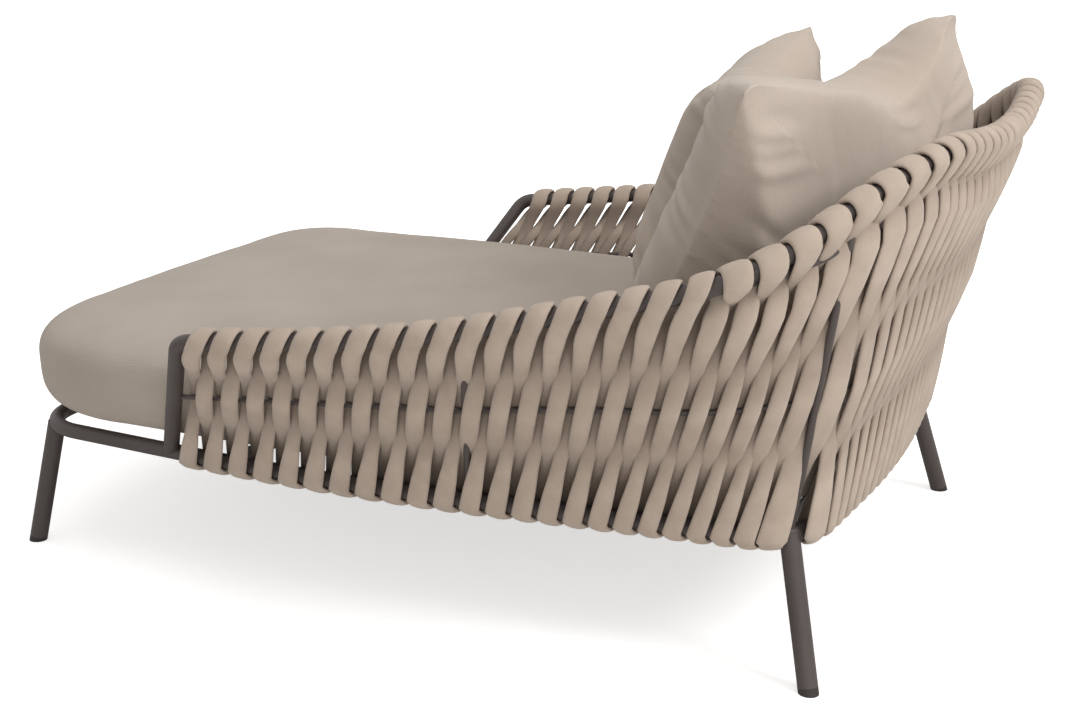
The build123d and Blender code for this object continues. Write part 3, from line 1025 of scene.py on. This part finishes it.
@dataclass
class LoosePillow:
    """A loose pillow: two panels sewn edge to edge and plumped by soft stuffing."""

    name: str
    node: str
    body: str
    width: float
    height: float
    thickness: float
    lean: float
    turn: float
    roll: float
    creases: tuple[Crease, ...] = ()
    pulls: tuple[Pull, ...] = ()
    back_fullness: float = 1.0
    back_taper: float = 0.0
    taper_start: float = 0.45
    taper_curve: float = 1.7
    voxel: float = 0.008
    smoothing: int = 2
    softening: int = 60
    seam_share: float = 0.16
    pucker: float = 0.003
    pucker_waves: tuple[float, float, float] = (95.0, 31.0, 41.0)
    pucker_shift: float = 2.4
    pucker_phase: float = 1.3
    pucker_start: float = 0.45
    pucker_rise: float = 0.3
    pucker_end: float = 0.12
    face_rise: float = 3.0
    rest_gap: float = 0.001
    rest_reach: float = 0.06
    filling: Filling = Filling(pressure=4.0, frames=20, cap=0.02)

    def rotation(self) -> np.ndarray:
        """Gives how the pillow stands: rolled onto one corner, leaning back and turned.

        Returns:
            A matrix from the pillow's own frame to the daybed's.
        """
        return np.array(Matrix.Rotation(math.radians(-self.turn), 3, "Z")
                        @ Matrix.Rotation(math.radians(90 - self.lean), 3, "X")
                        @ Matrix.Rotation(math.radians(-self.roll), 3, "Z"))

    def build(self, node: bpy.types.Object, material: bpy.types.Material,
              beds: list[bpy.types.Object]) -> bpy.types.Object:
        """Makes the pillow from its CAD form.

        Args:
            node: the CAD node.
            material: its fabric.
            beds: what it lies against.

        Returns:
            The pillow.
        """
        cover = loose_copy(node, self.name)
        apply_modifier(cover, "REMESH", mode="VOXEL", voxel_size=self.voxel)
        apply_modifier(cover, "SMOOTH", factor=0.5, iterations=self.smoothing)
        before = coordinates(cover)
        middle = (before.max(axis=0) + before.min(axis=0)) / 2
        self.filling.swell(cover)
        places = (coordinates(cover) - middle) @ self.rotation()
        places -= (places.max(axis=0) + places.min(axis=0)) / 2
        place_vertices(cover, self.back_filled(self.softened(cover, places)))
        apply_modifier(cover, "SUBSURF", levels=1, render_levels=1)
        half = np.array([self.width, self.height, self.thickness]) / 2
        shaped = self.slumped(self.wrinkled(coordinates(cover), half), half)
        place_vertices(cover, self.set_down(shaped))
        self.rest_on(cover, beds)
        select_only(cover)
        bpy.ops.object.shade_smooth()
        dress(cover, material, self.body, [self.node])
        return cover

    def softened(self, cover: bpy.types.Object, places: np.ndarray) -> np.ndarray:
        """Smooths the pillow but for its sewn edge, and brings it to its size.

        Args:
            cover: the pillow.
            places: its vertices in its own frame.

        Returns:
            The moved vertices.
        """
        place_vertices(cover, places)
        apply_modifier(cover, "SMOOTH", factor=0.5, iterations=self.softening)
        seam = np.exp(-(places[:, 2] / (self.seam_share * self.thickness / 2)) ** 2)[:, None]
        soft = coordinates(cover)
        soft[:, 2] *= np.ptp(places[:, 2]) / np.ptp(soft[:, 2])
        soft += (places - soft) * seam
        return soft * (np.array([self.width, self.height, self.thickness]) / np.ptp(soft, axis=0))

    def back_filled(self, places: np.ndarray) -> np.ndarray:
        """Fills out the back face towards the sides and tapers it towards the top.

        Args:
            places: the vertices in the pillow's own frame.

        Returns:
            The moved vertices.
        """
        deepest = -places[:, 2].min()
        sunk = np.clip(-places[:, 2] / deepest, 0, 1)
        rise = np.clip((2 * places[:, 1] / self.height + self.taper_start) / (1 + self.taper_start), 0, 1)
        taper = 1 - self.back_taper * rise ** self.taper_curve
        moved = places.copy()
        moved[:, 2] = np.where(sunk > 0, -deepest * (1 - (1 - sunk) ** self.back_fullness) * taper, places[:, 2])
        return moved

    def wrinkled(self, places: np.ndarray, half: np.ndarray) -> np.ndarray:
        """Puckers the faces along the sewn edge and presses the creases in.

        Args:
            places: the vertices in the pillow's own frame.
            half: half the pillow's width, height and thickness.

        Returns:
            The moved vertices.
        """
        shares = places / half
        edge = np.maximum(np.abs(shares[:, 0]), np.abs(shares[:, 1]))
        along = np.where(np.abs(shares[:, 0]) > np.abs(shares[:, 1]), places[:, 1], places[:, 0])
        rise = np.sign(places[:, 2]) * np.clip(np.abs(shares[:, 2]) * self.face_rise, 0, 1)
        fine, slow, broad = self.pucker_waves
        ripple = np.sin(along * fine + self.pucker_shift * np.sin(along * slow))
        ripple *= np.sin(along * broad + self.pucker_phase)
        band = np.clip((edge - self.pucker_start) / self.pucker_rise, 0, 1)
        band *= np.clip((1.0 - edge) / self.pucker_end, 0, 1)
        moved = places.copy()
        moved[:, 2] += rise * self.pucker * ripple * band
        for crease in self.creases:
            moved[:, 2] += crease.fold(places, half, rise)
        return moved

    def slumped(self, places: np.ndarray, half: np.ndarray) -> np.ndarray:
        """Pulls corners and edges out of square, as in a pillow that has been leant on.

        Args:
            places: the vertices in the pillow's own frame.
            half: half the pillow's width, height and thickness.

        Returns:
            The moved vertices.
        """
        moved = places.copy()
        for pull in self.pulls:
            away = np.linalg.norm(places[:, :2] - np.array(pull.place) * half[:2], axis=1)
            moved += np.exp(-(away / pull.reach) ** 2)[:, None] * np.array(pull.move)
        return moved

    def set_down(self, places: np.ndarray) -> np.ndarray:
        """Stands the pillow where its CAD form stands.

        Args:
            places: the vertices in the pillow's own frame.

        Returns:
            The vertices in the daybed's frame.
        """
        turned = places @ self.rotation().T
        lowest, highest = (np.array(corner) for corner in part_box(self.node))
        turned[:, :2] += ((lowest + highest) / 2 - (turned.max(axis=0) + turned.min(axis=0)) / 2)[:2]
        turned[:, 2] += lowest[2] - turned[:, 2].min()
        return turned

    def rest_on(self, cover: bpy.types.Object, beds: list[bpy.types.Object]) -> None:
        """Flattens the pillow where it would sink into what it lies against.

        Args:
            cover: the pillow.
            beds: the pieces that it may not enter.
        """
        places = coordinates(cover)
        for bed in beds:
            tree = BVHTree.FromObject(bed, bpy.context.evaluated_depsgraph_get())
            for number, place in enumerate(places):
                spot, normal, face, distance = tree.find_nearest(Vector(place), self.rest_reach)
                if spot is not None and (Vector(place) - spot).dot(normal) < self.rest_gap:
                    places[number] = spot + normal * self.rest_gap
        place_vertices(cover, places)


def rear_pillow() -> LoosePillow:
    """Describes the large pillow at the back: one upper corner stands up and the upper edge sags beside it.

    Returns:
        The pillow, ready to build.
    """
    return LoosePillow(
        name="rear_pillow_cover", node="rear_pillow", body="pillow_behind",
        width=0.770, height=0.594, thickness=0.289, lean=29.7, turn=12.5, roll=5.8,
        back_fullness=4.5, back_taper=1.0,
        pulls=(Pull((-1.0, 1.0), (0.075, -0.03, 0.055), 0.13), Pull((-1.0, 0.72), (-0.045, 0.0, 0.0), 0.15),
               Pull((-0.37, 1.0), (0.0, -0.11, 0.0), 0.15), Pull((0.2, 1.0), (0.0, -0.03, 0.0), 0.2),
               Pull((1.0, 1.0), (0.03, -0.005, 0.02), 0.2), Pull((1.0, -0.1), (0.035, 0.0, 0.0), 0.22)),
        creases=(Crease((0.98, 0.42), (0.66, 0.10), -0.006), Crease((0.70, 0.14), (0.30, 0.20), -0.005),
                 Crease((0.92, 0.86), (0.62, 0.80), -0.006), Crease((-0.10, 0.92), (-0.50, 0.80), -0.009),
                 Crease((0.45, 0.85), (0.38, 0.35), -0.004), Crease((-0.7, 0.75), (-0.4, 0.25), -0.005),
                 Crease((0.80, 0.75), (0.45, 0.45), 0.006), Crease((-0.80, 0.70), (-0.40, 0.45), 0.006),
                 Crease((0.05, -0.90), (0.12, -0.50), 0.005), Crease((0.80, -0.6), (0.50, -0.35), 0.005)))


def front_pillow() -> LoosePillow:
    """Describes the small pillow that leans against the large one.

    Returns:
        The pillow, ready to build.
    """
    return LoosePillow(
        name="front_pillow_cover", node="front_pillow", body="pillow_ahead",
        width=0.490, height=0.506, thickness=0.224, lean=22.5, turn=-2.8, roll=9.3,
        creases=(Crease((-0.85, 0.85), (-0.55, 0.70), -0.007), Crease((0.80, 0.80), (0.50, 0.55), 0.006),
                 Crease((-0.75, 0.70), (-0.45, 0.30), 0.006), Crease((0.10, 0.90), (0.05, 0.55), 0.004),
                 Crease((0.85, -0.50), (0.55, -0.25), 0.005), Crease((0.9, 0.2), (0.6, 0.3), -0.005)))


@dataclass(frozen=True)
class Lamp:
    """A square soft lamp that faces the daybed; its power is in watts."""

    name: str
    place: tuple[float, float, float]
    size: float
    power: float
    target: ClassVar[tuple[float, float, float]] = (0.0, 0.0, 0.4)

    def hang(self) -> None:
        """Adds the lamp to the scene."""
        data = bpy.data.lights.new(self.name, "AREA")
        data.size = self.size
        data.energy = self.power
        lamp = bpy.data.objects.new(self.name, data)
        bpy.context.collection.objects.link(lamp)
        lamp.location = self.place
        lamp.rotation_euler = (Vector(self.target) - Vector(self.place)).to_track_quat("-Z", "Y").to_euler()


@dataclass
class Studio:
    """The floor, the lamps and the camera."""

    camera_place: tuple[float, float, float] = (3.05, 1.403, 1.321)
    azimuth: float = 114.219
    elevation: float = 15.974
    lens: float = 56.85
    sensor_width: float = 36.0
    lamps: tuple[Lamp, ...] = (Lamp("back_lamp", (1.2, 4.3, 3.7), 1.8, 118.0),
                               Lamp("top_lamp", (0.3, 0.2, 5.2), 4.5, 84.0),
                               Lamp("side_lamp", (4.4, 3.0, 1.7), 2.6, 30.0))
    world_colour: str = "fffdfb"
    ambient: float = 0.42
    floor_size: float = 40.0
    floor_colour: str = "f6f5f3"
    glow_distances: tuple[float, float] = (1.2, 4.5)
    near_glow: float = 0.62

    def camera(self) -> None:
        """Stands the camera where the photograph was taken from."""
        data = bpy.data.cameras.new("camera")
        data.lens = self.lens
        data.sensor_width = self.sensor_width
        camera = bpy.data.objects.new("camera", data)
        bpy.context.collection.objects.link(camera)
        camera.location = self.camera_place
        camera.rotation_euler = Euler((math.radians(90 - self.elevation), 0, math.radians(self.azimuth)))
        bpy.context.scene.camera = camera

    def world(self) -> None:
        """Surrounds the scene with an even pale light that the camera and reflections see as white."""
        world = bpy.data.worlds.new("surround")
        bpy.context.scene.world = world
        world.use_nodes = True
        world.node_tree.nodes.clear()
        soft = add_node(world, "ShaderNodeBackground",
                        {"Color": linear(self.world_colour), "Strength": self.ambient})
        white = add_node(world, "ShaderNodeBackground", {"Color": WHITE, "Strength": 1.0})
        ray = add_node(world, "ShaderNodeLightPath", {})
        seen = add_node(world, "ShaderNodeMath", {"operation": "MAXIMUM"},
                        {0: ray.outputs["Is Camera Ray"], 1: ray.outputs["Is Glossy Ray"]})
        mix = add_node(world, "ShaderNodeMixShader", {},
                       {"Fac": seen.outputs["Value"], 1: soft.outputs["Background"],
                        2: white.outputs["Background"]})
        add_node(world, "ShaderNodeOutputWorld", {}, {"Surface": mix.outputs["Shader"]})

    def floor(self) -> None:
        """Lays a plain pale floor that takes the daybed's shadow and is white to the camera farther off."""
        bpy.ops.object.select_all(action="DESELECT")
        bpy.ops.mesh.primitive_plane_add(size=self.floor_size, location=(0, 0, 0))
        floor = bpy.context.active_object
        floor.name = "floor"
        paint = new_material("matt_floor_paint")
        shader = add_node(paint, "ShaderNodeBsdfPrincipled", {"Base Color": linear(self.floor_colour),
                                                              "Roughness": 0.9, "Specular IOR Level": 0.1})
        place = add_node(paint, "ShaderNodeTexCoord", {})
        distance = add_node(paint, "ShaderNodeVectorMath", {"operation": "LENGTH"}, {0: place.outputs["Object"]})
        near, far = self.glow_distances
        strength = add_node(paint, "ShaderNodeMapRange",
                            {"From Min": near, "From Max": far, "To Min": self.near_glow, "To Max": 1.0},
                            {"Value": distance.outputs["Value"]})
        ray = add_node(paint, "ShaderNodeLightPath", {})
        glow = add_node(paint, "ShaderNodeEmission", {"Color": WHITE}, {"Strength": strength.outputs["Result"]})
        none = add_node(paint, "ShaderNodeEmission", {"Color": WHITE, "Strength": 0.0})
        view = add_node(paint, "ShaderNodeMixShader", {},
                        {"Fac": ray.outputs["Is Camera Ray"], 1: none.outputs["Emission"],
                         2: glow.outputs["Emission"]})
        both = add_node(paint, "ShaderNodeAddShader", {}, {0: shader.outputs["BSDF"], 1: view.outputs["Shader"]})
        add_node(paint, "ShaderNodeOutputMaterial", {}, {"Surface": both.outputs["Shader"]})
        floor.data.materials.append(paint)

    def build(self) -> None:
        """Sets up the whole studio."""
        bpy.context.scene.view_settings.view_transform = "Standard"
        self.camera()
        self.world()
        self.floor()
        for lamp in self.lamps:
            lamp.hang()
        LOG.info("studio: %d lamps", len(self.lamps))


@dataclass
class Frame:
    """The coated tube frame and its glides, which keep their CAD shapes, and the finishes by material slot."""

    finishes: dict[str, bpy.types.Material]

    def dress(self, nodes: dict, record: dict) -> None:
        """Gives every CAD node the material of its slot.

        Args:
            nodes: the CAD nodes by name.
            record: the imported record.
        """
        for part in record["subparts"]:
            for place in nodes[part["node"]].material_slots:
                place.material = self.finishes[part["material_slot"]]
        LOG.info("frame: %d nodes dressed", len(record["subparts"]))


def main() -> None:
    """Builds the daybed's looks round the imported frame, piece by piece."""
    logging.basicConfig(level=logging.INFO, format="%(name)s: %(message)s")
    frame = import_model()
    nodes = frame["nodes"]
    finishes = {
        "frame_coating": PowderCoat().material(),
        "glide_plastic": MouldedPlastic().material(),
        "belt_webbing": WovenWebbing().material(),
        "cushion_fabric": PlainWeave("woven_acrylic_seat_cover", "afa295", "bbafa3").material(),
        "pillow_fabric": PlainWeave("woven_acrylic_pillow_cover", "bbada0", "c6b9ac").material(),
    }
    Studio().build()
    Frame(finishes).dress(nodes, frame["record"])
    WovenWall().build(finishes["belt_webbing"])
    seat = SeatCushion().build(nodes["seat_cushion"], finishes["cushion_fabric"])
    behind = rear_pillow().build(nodes["rear_pillow"], finishes["pillow_fabric"], [seat])
    front_pillow().build(nodes["front_pillow"], finishes["pillow_fabric"], [seat, behind])


if __name__ == "__main__":
    main()
